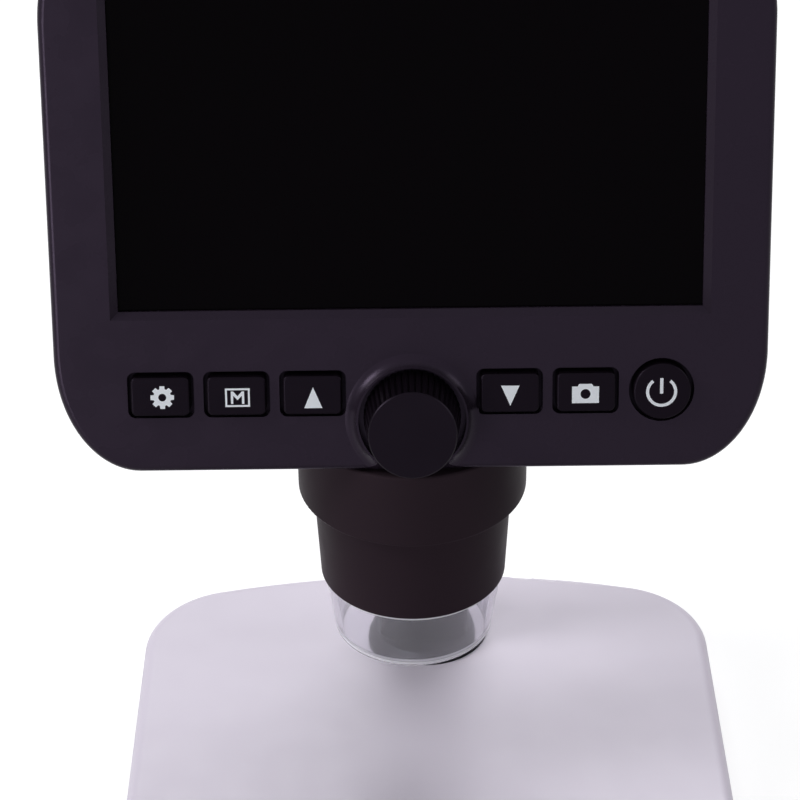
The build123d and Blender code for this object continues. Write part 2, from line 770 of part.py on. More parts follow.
def port(side, place, size, hole):
    """A socket on the back of the main board, open towards the side wall."""
    middle = board_back + board_thickness + size[2] / 2
    mouth = side_plane(side, place, middle)
    with BuildPart() as body:
        with BuildSketch(mouth.offset(-(1 + shell_wall + seat_gap))):
            Rectangle(size[0], size[2])
        extrude(amount=-size[1])
        with BuildSketch(mouth.offset(-(1 + shell_wall + seat_gap))):
            add(hole)
        extrude(amount=-size[1] * 0.7, mode=Mode.SUBTRACT)
    return body.part


with BuildSketch() as usb_hole:
    Rectangle(usb_size[0] - 1.0, usb_size[2] - 1.0)
    Rectangle(usb_size[0] - 2.6, 0.9, mode=Mode.SUBTRACT)
with BuildSketch() as card_hole:
    Rectangle(card_size[0] - 1.0, 0.9)
with BuildSketch() as jack_hole:
    Circle(jack_radius)
finish(port(-1, usb_place, usb_size, usb_hole.sketch), "usb_socket")
finish(port(-1, card_place, card_size, card_hole.sketch), "card_slot")
finish(port(1, jack_place, jack_size, jack_hole.sketch), "video_jack")

wheel_ribs = 30
wheel_pin_radius = 1.2
with BuildPart() as dimmer_wheel:
    with BuildSketch(head_plane(wheel_depth + wheel_thickness)):
        with Locations((wheel_centre, wheel_place)):
            Circle(wheel_radius)
            with PolarLocations(wheel_radius + 0.25, wheel_ribs):
                Circle(0.45, mode=Mode.SUBTRACT)
            Circle(wheel_pin_radius, mode=Mode.SUBTRACT)
    extrude(amount=wheel_thickness)
finish(dimmer_wheel.part, "dimmer_wheel")

pot_size = 9.0
with BuildPart() as dimmer_pot:
    with BuildSketch(head_plane(wheel_depth - running_gap)):
        with Locations((wheel_centre - 3.0, wheel_place)):
            Rectangle(pot_size, pot_size)
        with Locations((wheel_centre, wheel_place)):
            Circle(2.2)
    extrude(amount=wheel_depth - running_gap - board_back - board_thickness)
    with BuildSketch(head_plane(wheel_depth + wheel_thickness + 0.4)):
        with Locations((wheel_centre, wheel_place)):
            Circle(wheel_pin_radius - shaft_fit)
    extrude(amount=wheel_thickness + 0.4 + running_gap + 0.3)
finish(dimmer_pot.part, "dimmer_pot")

housing_screws = []
screw_seat = head_depth - screw_sink
housing_screw_length = screw_seat - shell_wall - 2.0
for x, v in corner_bosses:
    screw = pan_screw((0, 0), 0, housing_screw_length, boss_hole, screw_cap, screw_cap_height)
    spot = Plane(origin=head_plane(screw_seat).from_local_coords((x, v, 0)), x_dir=(1, 0, 0), z_dir=outward)
    housing_screws.append(spot.location * screw)
finish(Compound(children=housing_screws), "housing_screws")

# ---------------------------------------------------------------- keys
key_board_top = key_level + 7.05
key_board_bottom = board_boss_level - 1.5
key_board_inner = cup_radius + 2.2
key_board_outer = head_half_width - 11.35
key_board_screw_length = 4.2
board_sheet = 1.0
all_key_places = rect_key_places + [power_key_place]
flange_front = shell_wall + running_gap
stem_end = key_board_depth - switch_body - switch_button - key_travel - seat_gap
key_stem = stem_end - flange_front - key_flange

for side, label in ((-1, "key_board_left"), (1, "key_board_right")):
    with BuildPart() as key_board:
        with BuildSketch(head_plane(key_board_depth + board_sheet)):
            with Locations((side * (key_board_inner + key_board_outer) / 2,
                            (key_board_top + key_board_bottom) / 2)):
                Rectangle(key_board_outer - key_board_inner, key_board_top - key_board_bottom)
            with Locations([p for p in board_bosses if p[0] * side > 0]):
                Circle(boss_hole + seat_gap, mode=Mode.SUBTRACT)
        extrude(amount=board_sheet)
    finish(key_board.part, label)

with BuildPart() as switches:
    with BuildSketch(head_plane(key_board_depth)):
        with Locations([(x, key_level) for x in all_key_places]):
            Rectangle(switch_size, switch_size)
    extrude(amount=switch_body)
    with BuildSketch(head_plane(key_board_depth - switch_body)):
        with Locations([(x, key_level) for x in all_key_places]):
            Circle(switch_button_radius)
    extrude(amount=switch_button)
finish(switches.part, "key_switches")

key_board_screws = []
for x, v in board_bosses:
    screw = pan_screw((0, 0), 0, key_board_screw_length, boss_hole, small_head_radius, small_head)
    spot = Plane(origin=head_plane(key_board_depth + board_sheet).from_local_coords((x, v, 0)),
                 x_dir=(1, 0, 0), z_dir=outward)
    key_board_screws.append(spot.location * screw)
finish(Compound(children=key_board_screws), "key_board_screws")


def key_cap(place, cap, flange):
    """A keycap: the cap through the face, its retaining flange and the stem to the switch."""
    with BuildPart() as body:
        with BuildSketch(head_plane(flange_front)):
            with Locations((place, key_level)):
                add(cap)
        extrude(amount=flange_front + key_stand)
        fillet(body.faces().filter_by(Axis(origin=(0, 0, 0), direction=tuple(outward)))
               .sort_by(Axis.Y)[0].edges(), key_round)
        with BuildSketch(head_plane(flange_front + key_flange)):
            with Locations((place, key_level)):
                add(flange)
        extrude(amount=key_flange)
        with BuildSketch(head_plane(stem_end)):
            with Locations((place, key_level)):
                Circle(key_stem_radius)
        extrude(amount=key_stem)
    return body.part


with BuildSketch() as rect_cap:
    RectangleRounded(well_width - 2 * key_gap, well_height - 2 * key_gap, well_corner - key_gap / 2)
with BuildSketch() as rect_flange:
    Rectangle(well_width + 2 * key_skirt, well_height + 2 * key_skirt)
with BuildSketch() as round_cap:
    Circle(power_well_radius - key_gap)
with BuildSketch() as round_flange:
    Circle(power_well_radius + key_skirt)
for place, label in zip(rect_key_places, rect_key_names):
    finish(key_cap(place, rect_cap.sketch, rect_flange.sketch), label)
finish(key_cap(power_key_place, round_cap.sketch, round_flange.sketch), "key_power")


# ---------------------------------------------------------------- optical column
web_thickness = 4.45
neck_top = floor_level
web_level = neck_top - web_thickness
guide_end = barrel_level + 9.0
inner_radius = barrel_end_radius - barrel_wall
carrier_top = knob_level - 13.0
carrier_length = 21.0
carrier_level = carrier_top - carrier_length
rack_x = tooth_module * pinion_teeth / 2 + mesh_clearance
rack_back_x = rack_x + 3.9
rack_front_y, rack_back_y = -9.2, -6.0
rack_teeth_low = knob_level - 10.6
rack_top = knob_level + 5.3
rack_low = carrier_top - 5.0
slot_gap = 0.5
lug_back_y = -3.0
frame_radius = 14.8
frame_thickness = 2.0
frame_top = floor_level + frame_thickness
pinion_outer = tooth_module * (pinion_teeth / 2 + 1)
pinion_pocket = pinion_outer + 0.7
clamp_radius = 11.4
clamp_angles = (60, 120, 215)
clamp_places = [(clamp_radius * cos(radians(a)), clamp_radius * sin(radians(a))) for a in clamp_angles]


def rack_slot(low, high):
    """Room for the rack and the carrier's lug on their way up and down."""
    x0, x1 = rack_x - tooth_module - slot_gap, rack_back_x + slot_gap
    y0, y1 = rack_front_y - slot_gap, lug_back_y + slot_gap
    with BuildPart() as room:
        with BuildSketch(upright(low, (x0 + x1) / 2, (y0 + y1) / 2)):
            Rectangle(x1 - x0, y1 - y0)
        extrude(amount=high - low)
    return room.part


with BuildPart() as pinion_room:
    with BuildSketch(face_plane(bush_end + slot_gap)):
        Circle(pinion_pocket)
    extrude(amount=-(pinion_start + pinion_width + slot_gap - bush_end - slot_gap))
    with BuildSketch(face_plane(bush_end + slot_gap)):
        Circle(boss_outer + slot_gap)
    extrude(amount=bush_end)
    with BuildSketch(face_plane(cup_end + running_gap)):
        Circle(cup_radius + running_gap)
    extrude(amount=cup_end)

with BuildPart() as barrel:
    with BuildSketch(Plane.XZ):
        with BuildLine():
            Polyline(
                (inner_radius, barrel_level), (barrel_end_radius, barrel_level),
                (barrel_radius, ring_level), (barrel_radius, head_level),
                (neck_radius, head_level), (neck_radius, neck_top),
                (guide_radius, neck_top), (guide_radius, guide_end),
                (guide_radius + guide_wall, guide_end), (guide_radius + guide_wall, web_level),
                (inner_radius, web_level), (inner_radius, barrel_level))
        make_face()
    revolve(axis=Axis.Z)
    add(rack_slot(rack_low - focus_travel - slot_gap, neck_top + 1), mode=Mode.SUBTRACT)
    add(pinion_room.part, mode=Mode.SUBTRACT)
    with BuildSketch(upright(neck_top)):
        with Locations(clamp_places):
            Circle(boss_hole)
    extrude(amount=-web_thickness + 0.6, mode=Mode.SUBTRACT)
finish(barrel.part, "optical_barrel")

with BuildPart() as tip:
    with BuildSketch(Plane.XZ):
        with BuildLine():
            lip_radius = inner_radius - seat_gap
            Polyline(
                (tip_end_radius - tip_wall, tip_level), (tip_end_radius, tip_level),
                (tip_top_radius, barrel_level), (lip_radius, barrel_level),
                (lip_radius, barrel_level + tip_lip), (lip_radius - 1.0, barrel_level + tip_lip),
                (lip_radius - 1.0, barrel_level), (tip_end_radius - tip_wall, tip_level))
        make_face()
    revolve(axis=Axis.Z)
finish(tip.part, "clear_tip")

led_board_level = barrel_level + tip_lip + seat_gap
led_board_thickness = 1.0
led_ring_radius = 11.4
led_count = 8
led_size = 2.8
with BuildPart() as led_board:
    with BuildSketch(upright(led_board_level)):
        Circle(inner_radius - seat_gap)
        Circle(carrier_radius + 1.2, mode=Mode.SUBTRACT)
    extrude(amount=led_board_thickness)
finish(led_board.part, "led_board")

with BuildPart() as leds:
    with BuildSketch(upright(led_board_level)):
        with PolarLocations(led_ring_radius, led_count):
            Rectangle(led_size, led_size)
    extrude(amount=-0.9)
    with BuildSketch(upright(led_board_level - 0.9)):
        with PolarLocations(led_ring_radius, led_count):
            Circle(led_size * 0.36)
    extrude(amount=-0.4)
finish(leds.part, "leds")

lens_seat_low = carrier_level + 2.2
lens_seat_high = carrier_top - 4.2
lens_radius = carrier_bore - 0.1
lens_rim = 1.3
lens_edge = 1.4
lens_seat = 0.8
retainer_height = 1.0
with BuildPart() as carrier:
    with BuildSketch(upright(carrier_level)):
        Circle(carrier_radius)
        Circle(carrier_bore, mode=Mode.SUBTRACT)
    extrude(amount=carrier_length)
    for seat in (lens_seat_low, lens_seat_high):
        with BuildSketch(upright(seat - lens_seat)):
            Circle(carrier_bore)
            Circle(lens_radius - lens_rim + seat_gap, mode=Mode.SUBTRACT)
        extrude(amount=lens_seat)
    with BuildSketch(upright(rack_low)):
        with Locations(((rack_x + 0.6 + rack_back_x) / 2, (rack_back_y + lug_back_y) / 2)):
            Rectangle(rack_back_x - rack_x - 0.6, lug_back_y - rack_back_y)
        Circle(carrier_bore, mode=Mode.SUBTRACT)
    extrude(amount=carrier_top - rack_low)
finish(carrier.part, "lens_carrier")


def biconvex(level, radius, middle, edge):
    """A lens with two rounded faces, resting on its seat."""
    rise = (middle - edge) / 2
    clear = radius - lens_rim
    ball = (clear ** 2 + rise ** 2) / (2 * rise)
    with BuildPart() as glass:
        with BuildSketch(Plane.XZ):
            with BuildLine():
                Line((0, level - rise), (0, level + edge + rise))
                RadiusArc((0, level + edge + rise), (clear, level + edge), ball)
                Polyline((clear, level + edge), (radius, level + edge), (radius, level), (clear, level))
                RadiusArc((clear, level), (0, level - rise), ball)
            make_face()
        revolve(axis=Axis.Z)
    return glass.part


finish(biconvex(lens_seat_low, lens_radius, 2.6, lens_edge), "objective_lens")
finish(biconvex(lens_seat_high, lens_radius, 2.4, lens_edge), "relay_lens")

with BuildPart() as retainers:
    for seat in (lens_seat_low, lens_seat_high):
        with BuildSketch(upright(seat + lens_edge)):
            Circle(lens_radius)
            Circle(lens_radius - lens_rim + seat_gap, mode=Mode.SUBTRACT)
        extrude(amount=retainer_height)
finish(retainers.part, "lens_retainers")

# ---------------------------------------------------------------- focus drive
pitch = pi * tooth_module
tooth_half = pitch / 4 - 0.06
flank = tan(radians(20))
dedendum = 1.25 * tooth_module


def rack_tooth(middle):
    """Outline of one rack tooth on the plane square to the knob's axis."""
    tip_half = tooth_half - tooth_module * flank
    root_half = tooth_half + dedendum * flank
    return [(rack_x + dedendum, middle - root_half), (rack_x - tooth_module, middle - tip_half),
            (rack_x - tooth_module, middle + tip_half), (rack_x + dedendum, middle + root_half)]


tooth_reach = 7
with BuildPart() as toothed:
    with BuildSketch(face_plane(0)):
        with Locations(((rack_x + dedendum + rack_back_x) / 2, 0)):
            Rectangle(rack_back_x - rack_x - dedendum, 4 * tooth_reach * pitch)
        for count in range(-tooth_reach, tooth_reach + 1):
            with BuildLine():
                Polyline(*rack_tooth(count * pitch), close=True)
            make_face()
    extrude(amount=-2 * face_ahead)
    with BuildSketch(upright(rack_teeth_low)):
        with Locations(((rack_x - tooth_module + rack_back_x) / 2, (rack_front_y + rack_back_y) / 2)):
            Rectangle(rack_back_x - rack_x + tooth_module, rack_back_y - rack_front_y)
    extrude(amount=rack_top - rack_teeth_low, mode=Mode.INTERSECT)

with BuildPart() as rack:
    add(toothed.part)
    with BuildSketch(upright(rack_low)):
        with Locations(((rack_x + dedendum + rack_back_x) / 2, (rack_front_y + rack_back_y) / 2)):
            Rectangle(rack_back_x - rack_x - dedendum, rack_back_y - rack_front_y)
    extrude(amount=rack_teeth_low - rack_low)
finish(rack.part, "focus_rack")

pinion_root = tooth_module * pinion_teeth / 2 - dedendum
pitch_radius = tooth_module * pinion_teeth / 2
half_turn = tooth_half / pitch_radius


def on_circle(radius, angle):
    return (radius * cos(angle), radius * sin(angle))


pinion_outline = []
for count in range(pinion_teeth):
    middle = 2 * pi * (count + 0.5) / pinion_teeth
    root_turn = half_turn * 1.35
    tip_turn = half_turn * 0.50
    pinion_outline += [
        on_circle(pinion_root, middle - root_turn), on_circle(pitch_radius, middle - half_turn),
        on_circle(pinion_outer, middle - tip_turn), on_circle(pinion_outer, middle + tip_turn),
        on_circle(pitch_radius, middle + half_turn), on_circle(pinion_root, middle + root_turn)]
with BuildPart() as pinion:
    with BuildSketch(face_plane(pinion_start + pinion_width)):
        with BuildLine():
            Polyline(*pinion_outline, close=True)
        make_face()
        Circle(shaft_radius, mode=Mode.SUBTRACT)
    extrude(amount=pinion_width)
finish(pinion.part, "focus_pinion")

with BuildPart() as shaft:
    with BuildSketch(face_plane(pinion_start + pinion_width)):
        Circle(shaft_radius)
    extrude(amount=pinion_start + pinion_width + knob_stand - 2.4)
finish(shaft.part, "focus_shaft")

clip_thickness = 0.4
with BuildPart() as shaft_clip:
    with BuildSketch(face_plane(bush_end + 0.05 + clip_thickness)):
        Circle(3.0)
        Circle(shaft_radius, mode=Mode.SUBTRACT)
        with Locations((0, -2)):
            Rectangle(1.6, 3, mode=Mode.SUBTRACT)
    extrude(amount=clip_thickness)
finish(shaft_clip.part, "shaft_clip")

with BuildPart() as bush:
    with BuildSketch(face_plane(bush_end)):
        Circle(bush_radius)
        Circle(shaft_radius + shaft_fit, mode=Mode.SUBTRACT)
    extrude(amount=bush_end - knob_floor)
finish(bush.part, "shaft_bush")


def ribbed(radius):
    """A round outline with fine pointed ribs."""
    points = []
    for count in range(knob_ribs):
        middle = 2 * pi * count / knob_ribs
        step = pi / knob_ribs
        points += [
            on_circle(radius - knob_rib_depth, middle - step), on_circle(radius, middle - step * 0.45),
            on_circle(radius, middle + step * 0.45)]
    with BuildLine() as outline:
        Polyline(*points, close=True)
    return outline.line


with BuildPart() as knob:
    with BuildSketch(face_plane(knob_sink)):
        add(ribbed(knob_root_radius))
        make_face()
    with BuildSketch(face_plane(-knob_stand + knob_rim)):
        add(ribbed(knob_radius))
        make_face()
    loft(ruled=True)
    with BuildSketch(face_plane(-knob_stand + knob_rim)):
        Circle(knob_radius)
    extrude(amount=knob_rim / 2)
    with BuildSketch(face_plane(-knob_stand + knob_rim / 2)):
        Circle(knob_radius)
    extrude(amount=knob_rim / 2, taper=45)
    with BuildSketch(face_plane(knob_sink)):
        Circle(knob_root_radius - 1.6)
        Circle(shaft_radius + 1.6, mode=Mode.SUBTRACT)
    extrude(amount=knob_stand + knob_sink - 3.2, mode=Mode.SUBTRACT)
    with BuildSketch(face_plane(knob_sink)):
        Circle(shaft_radius)
    extrude(amount=knob_sink + knob_stand - 2.4, mode=Mode.SUBTRACT)
finish(knob.part, "focus_knob")

# ---------------------------------------------------------------- image sensor and its frame
sensor_level = knob_level + sensor_rise
sensor_board_size = (22.0, 17.5)
sensor_shift = 3.75
sensor_board_thickness = 1.2
cheek_width = 2.2
cheek_place = (sensor_board_size[0] - cheek_width) / 2
with BuildPart() as optics_frame:
    with BuildSketch(upright(floor_level)):
        Circle(frame_radius)
        Circle(guide_radius + 1.2, mode=Mode.SUBTRACT)
        with Locations(clamp_places):
            Circle(boss_hole + 0.3, mode=Mode.SUBTRACT)
    extrude(amount=frame_thickness)
    with BuildSketch(upright(frame_top)):
        with Locations((-cheek_place, sensor_shift), (cheek_place, sensor_shift)):
            Rectangle(cheek_width, 11.0)
    extrude(amount=sensor_level - frame_top)
    add(rack_slot(floor_level - 1, frame_top + 1), mode=Mode.SUBTRACT)
    add(pinion_room.part, mode=Mode.SUBTRACT)
finish(optics_frame.part, "optics_frame")

clamp_screw_length = frame_thickness + 3.0
clamp_screws = [
    pan_screw(place, frame_top, clamp_screw_length, boss_hole, small_head_radius, small_head).rotate(
        Axis(origin=(place[0], place[1], frame_top), direction=(1, 0, 0)), 180)
    for place in clamp_places
]
finish(Compound(children=clamp_screws), "optics_screws")

with BuildPart() as sensor_board:
    with BuildSketch(upright(sensor_level, 0, sensor_shift)):
        Rectangle(*sensor_board_size)
    extrude(amount=sensor_board_thickness)
finish(sensor_board.part, "sensor_board")

with BuildPart() as sensor:
    with BuildSketch(upright(sensor_level)):
        Rectangle(8.0, 8.0)
    extrude(amount=-1.0)
finish(sensor.part, "image_sensor")
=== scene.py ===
"""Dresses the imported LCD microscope: finishes for every node, key marks, floor, light and camera.

Lengths are in metres, in the frame's own axes, except where a comment says millimetres.
"""
import json
from math import cos, pi, radians, sin

import bpy
from mathutils import Matrix, Vector


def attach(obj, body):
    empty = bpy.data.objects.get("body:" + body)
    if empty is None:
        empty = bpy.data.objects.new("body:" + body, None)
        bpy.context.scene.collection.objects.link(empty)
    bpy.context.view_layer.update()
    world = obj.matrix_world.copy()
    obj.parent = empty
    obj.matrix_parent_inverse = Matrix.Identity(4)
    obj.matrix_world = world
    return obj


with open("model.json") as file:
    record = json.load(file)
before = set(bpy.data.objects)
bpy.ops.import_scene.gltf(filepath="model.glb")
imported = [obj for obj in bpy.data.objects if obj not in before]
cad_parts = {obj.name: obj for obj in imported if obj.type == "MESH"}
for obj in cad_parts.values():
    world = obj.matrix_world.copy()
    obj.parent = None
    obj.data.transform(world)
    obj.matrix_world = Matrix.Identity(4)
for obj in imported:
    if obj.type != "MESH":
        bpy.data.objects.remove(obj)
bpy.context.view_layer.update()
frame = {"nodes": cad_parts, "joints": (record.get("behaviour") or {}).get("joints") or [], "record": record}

MM = 0.001

# ---------------------------------------------------------------- places taken from the frame
def axes_at(spot, right, up, out):
    """World matrix of a set of axes at a spot."""
    return Matrix.Translation(spot) @ Matrix((right, up, out)).transposed().to_4x4()


focus_joint = next(joint for joint in frame["joints"] if joint["name"] == "focus_turn")
KNOB = Vector(focus_joint["pos_m"])     # where the knob's axis meets the tilted face
OUTWARD = Vector(focus_joint["axis"]).normalized()
RIGHT = Vector((1, 0, 0))
FACE = axes_at(KNOB, RIGHT, OUTWARD.cross(RIGHT), OUTWARD)


def on_face(u, v, height):
    """World matrix of a spot on the tilted face, in millimetres from the knob's axis."""
    return FACE @ Matrix.Translation(Vector((u, v, height)) * MM) @ Matrix.Scale(MM, 4)


def vertex_places(node):
    """Places of a node's vertices at rest. The node's object itself sits at the origin."""
    return [vertex.co for vertex in frame["nodes"][node].data.vertices]


def cap_top(key):
    """Middle of a key's cap and its height over the face, in the millimetres of on_face."""
    to_face = FACE.inverted()
    spots = [to_face @ place / MM for place in vertex_places(key)]
    lowest = [min(values) for values in zip(*spots)]
    highest = [max(values) for values in zip(*spots)]
    return (lowest[0] + highest[0]) / 2, (lowest[1] + highest[1]) / 2, highest[2]


def lower_end(node):
    """Height of a node's lowest point at rest."""
    return min(place.z for place in vertex_places(node))


# ---------------------------------------------------------------- materials
# Noise scales are in features per metre and depths in millimetres.
NOISE_LOW, NOISE_HIGH = 0.3, 0.7        # nearly all of a noise's values lie between these
FLOW_SCALE = 28                         # faint flow marks of a moulding
FLOW_STRETCH = (1, 1, 0.6)
GLOSS_SCALE = 160                       # its uneven gloss
GRAIN_STRENGTH = 0.6
BRUSH_SCALE = 900                       # grain of a brushed or turned metal
BRUSH_TONES = 0.86, 1.08
BRUSH_SMOOTHER, BRUSH_ROUGHER = 0.08, 0.1
BRUSH_DEPTH = 0.006
BRUSH_STRENGTH = 0.4
WAVE_SCALE = 60                         # unevenness of a clear piece's surface
WAVE_DEPTH = 0.02
WAVE_STRENGTH = 0.3
HAZE_SCALE = 400
HAZE_ROUGHER = 0.03
BLUISH = (0.93, 0.96, 1.0)
GLASS_EDGE_TONE = 0.97


def srgb(r, g, b):
    """Linear colour of a screen colour given in 0 to 255."""
    def channel(value):
        value /= 255
        return value / 12.92 if value <= 0.04045 else ((value + 0.055) / 1.055) ** 2.4
    return (channel(r), channel(g), channel(b))


def scaled(colour, factor):
    """A colour made lighter or darker."""
    return tuple(min(1.0, channel * factor) for channel in colour)


class Shade:
    """One Principled material with its nodes laid out by short calls."""

    def __init__(self, name, **sockets):
        self.material = bpy.data.materials.new(name)
        self.material.use_nodes = True
        self.tree = self.material.node_tree
        self.shader = self.tree.nodes["Principled BSDF"]
        self.place = self.tree.nodes.new("ShaderNodeTexCoord").outputs["Object"]
        for key, value in sockets.items():
            self.shader.inputs[key.replace("_", " ")].default_value = value

    def node(self, kind, **values):
        """A new node with its properties and input values set."""
        made = self.tree.nodes.new(kind)
        for key, value in values.items():
            if hasattr(made, key):
                setattr(made, key, value)
            else:
                made.inputs[key.replace("_", " ")].default_value = value
        return made

    def link(self, out, into):
        """Joins an output to an input."""
        self.tree.links.new(out, into)

    def noise(self, scale, detail, stretch=(1, 1, 1)):
        """Noise with a scale in features per metre, squeezed along the axes by stretch."""
        mapping = self.node("ShaderNodeMapping")
        mapping.inputs["Scale"].default_value = stretch
        self.link(self.place, mapping.inputs["Vector"])
        made = self.node("ShaderNodeTexNoise", Scale=scale, Detail=detail)
        self.link(mapping.outputs["Vector"], made.inputs["Vector"])
        return made.outputs["Fac"]

    def spread(self, source, low, high):
        """A noise's values stretched to another range."""
        made = self.node("ShaderNodeMapRange", From_Min=NOISE_LOW, From_Max=NOISE_HIGH,
                         To_Min=low, To_Max=high)
        self.link(source, made.inputs["Value"])
        return made.outputs["Result"]

    def tint(self, source, dark, light):
        """Base colour between two colours by a noise."""
        mix = self.node("ShaderNodeMix", data_type="RGBA")
        mix.inputs["A"].default_value = (*dark, 1)
        mix.inputs["B"].default_value = (*light, 1)
        self.link(self.spread(source, 0, 1), mix.inputs["Factor"])
        self.link(mix.outputs["Result"], self.shader.inputs["Base Color"])

    def bump(self, source, height, strength):
        """Relief of a height in millimetres."""
        made = self.node("ShaderNodeBump", Strength=strength, Distance=height * MM)
        self.link(source, made.inputs["Height"])
        self.link(made.outputs["Normal"], self.shader.inputs["Normal"])

    def rough(self, source, low, high):
        """Roughness between two values by a noise."""
        self.link(self.spread(source, low, high), self.shader.inputs["Roughness"])


def moulded(name, colour, rough, grain, depth, tone, uneven=0.05, **sockets):
    """Moulded plastic: a fine spark-eroded grain, uneven gloss and faint flow marks.

    grain is a noise's scale; tone is how far the colour wanders, as a share of it, and uneven how
    far the roughness does.
    """
    shade = Shade(name, **sockets)
    flow = shade.noise(FLOW_SCALE, 2.0, FLOW_STRETCH)
    shade.tint(flow, scaled(colour, 1 - tone), scaled(colour, 1 + tone))
    shade.rough(shade.noise(GLOSS_SCALE, 4.0), rough - uneven, rough + uneven)
    shade.bump(shade.noise(grain, 2.0), depth, GRAIN_STRENGTH)
    return shade.material


def brushed(name, colour, rough, stretch):
    """Metal with a fine brushed or turned grain, drawn out along the least stretched axes."""
    shade = Shade(name, Metallic=1.0)
    grain = shade.noise(BRUSH_SCALE, 4.0, stretch)
    shade.tint(grain, *(scaled(colour, tone) for tone in BRUSH_TONES))
    shade.rough(grain, rough - BRUSH_SMOOTHER, rough + BRUSH_ROUGHER)
    shade.bump(grain, BRUSH_DEPTH, BRUSH_STRENGTH)
    return shade.material


def wavy_clear(shade, dark, light, rough):
    """Lays a clear plastic's or glass's faint waves on a material."""
    waves = shade.noise(WAVE_SCALE, 2.0)
    shade.tint(waves, dark, light)
    shade.rough(shade.noise(HAZE_SCALE, 3.0), rough, rough + HAZE_ROUGHER)
    shade.bump(waves, WAVE_DEPTH, WAVE_STRENGTH)


def coated_glass():
    """Lens glass with a bluish coating."""
    shade = Shade("coated_glass", Transmission_Weight=1.0, IOR=1.52, Coat_Weight=0.4)
    wavy_clear(shade, scaled(BLUISH, GLASS_EDGE_TONE), BLUISH, rough=0.0)
    return shade.material


# The clear tip: how much light its clear and its frosted parts let through, and its bands in
# millimetres, the first up from its lower end and the second down from the barrel.
CLEAR = 0.905
FROSTED = 0.15
TIP_TONES = (0.83, 0.82, 0.865), (0.87, 0.86, 0.905)
RIM_BAND = (0.35, 0.85)
LINE_UNDER_BARREL = 0.75
BAND_BLUR = 0.1


def banded_tip():
    """Clear plastic with a light haze, a frosted lower rim and a bright line under the barrel."""
    lower = lower_end("clear_tip")
    upper = lower_end("optical_barrel")
    shown = (upper - lower) / MM
    shade = Shade("hazy_polycarbonate", IOR=1.45)
    wavy_clear(shade, *TIP_TONES, rough=0.03)
    split = shade.node("ShaderNodeSeparateXYZ")
    shade.link(shade.place, split.inputs["Vector"])
    reach = shade.node("ShaderNodeMapRange", From_Min=lower, From_Max=upper)
    shade.link(split.outputs["Z"], reach.inputs["Value"])
    ramp = shade.node("ShaderNodeValToRGB")
    shade.link(reach.outputs["Result"], ramp.inputs["Fac"])
    stops = [
        (0.0, CLEAR), (RIM_BAND[0] - BAND_BLUR, CLEAR),
        (RIM_BAND[0], FROSTED), (RIM_BAND[1], FROSTED),
        (RIM_BAND[1] + BAND_BLUR, CLEAR), (shown - LINE_UNDER_BARREL - BAND_BLUR, CLEAR),
        (shown - LINE_UNDER_BARREL, FROSTED), (shown, FROSTED),
    ]
    band = ramp.color_ramp
    while len(band.elements) < len(stops):
        band.elements.new(0.5)
    for element, (height, value) in zip(band.elements, stops):
        element.position = height / shown
        element.color = (value, value, value, 1)
    shade.link(ramp.outputs["Color"], shade.shader.inputs["Transmission Weight"])
    return shade.material


LAVENDER_WHITE = srgb(215, 208, 222)
MARK_WHITE = srgb(243, 248, 255)
BLACK_FACE = (0.0130, 0.0088, 0.0150)
BLACK_TUBE = (0.0300, 0.0200, 0.0262)
BLACK_TRIM = (0.0030, 0.0018, 0.0032)
COOL_SHEEN = (0.86, 0.68, 1.0, 1.0)
WARM_SHEEN = (1.0, 0.82, 0.92, 1.0)

finishes = {
    "white_shell": moulded("white_abs", LAVENDER_WHITE, rough=0.42, grain=2600, depth=0.01,
                           tone=0.012, Specular_IOR_Level=0.35),
    "black_shell": moulded("black_abs", BLACK_FACE, rough=0.27, grain=3600, depth=0.012,
                           tone=0.08, Specular_IOR_Level=0.17, Specular_Tint=COOL_SHEEN),
    "black_gloss": moulded("key_plastic", BLACK_TRIM, rough=0.3, grain=4200, depth=0.006,
                           tone=0.08, Specular_IOR_Level=0.08, Specular_Tint=COOL_SHEEN),
    "black_metal": brushed("anodised_black", (0.03, 0.03, 0.034), rough=0.4, stretch=(60, 60, 1)),
    "steel": brushed("steel", (0.56, 0.56, 0.58), rough=0.3, stretch=(1, 1, 12)),
    "brass": brushed("brass", (0.72, 0.53, 0.25), rough=0.28, stretch=(1, 12, 1)),
    "rubber": moulded("soft_rubber", (0.02, 0.02, 0.021), rough=0.85, grain=1800, depth=0.03,
                      tone=0.12, Specular_IOR_Level=0.2),
    "clear": banded_tip(),
    "lens_glass": coated_glass(),
    "board": moulded("solder_mask", (0.012, 0.1, 0.045), rough=0.35, grain=700, depth=0.02,
                     tone=0.2),
    "battery_wrap": moulded("pouch_foil", (0.55, 0.56, 0.58), rough=0.4, grain=300, depth=0.04,
                            tone=0.08, Metallic=0.6),
    "led_body": moulded("led_resin", (0.85, 0.8, 0.5), rough=0.35, grain=900, depth=0.01,
                        tone=0.06),
    "connector": brushed("plated_shell", (0.68, 0.68, 0.7), rough=0.25, stretch=(20, 1, 1)),
    "panel": moulded("display_panel", (0.0015, 0.001, 0.0018), rough=0.3, grain=2000,
                     depth=0.004, tone=0.1, Specular_IOR_Level=0.1),
    "screen_glass": moulded("dark_cover_lens", (0.0016, 0.0008, 0.0016), rough=0.08, grain=300,
                            depth=0.0005, tone=0.15, uneven=0.004, Specular_IOR_Level=0.02),
    "white_nylon": moulded("nylon", (0.7, 0.69, 0.66), rough=0.5, grain=1500, depth=0.01,
                           tone=0.03),
}

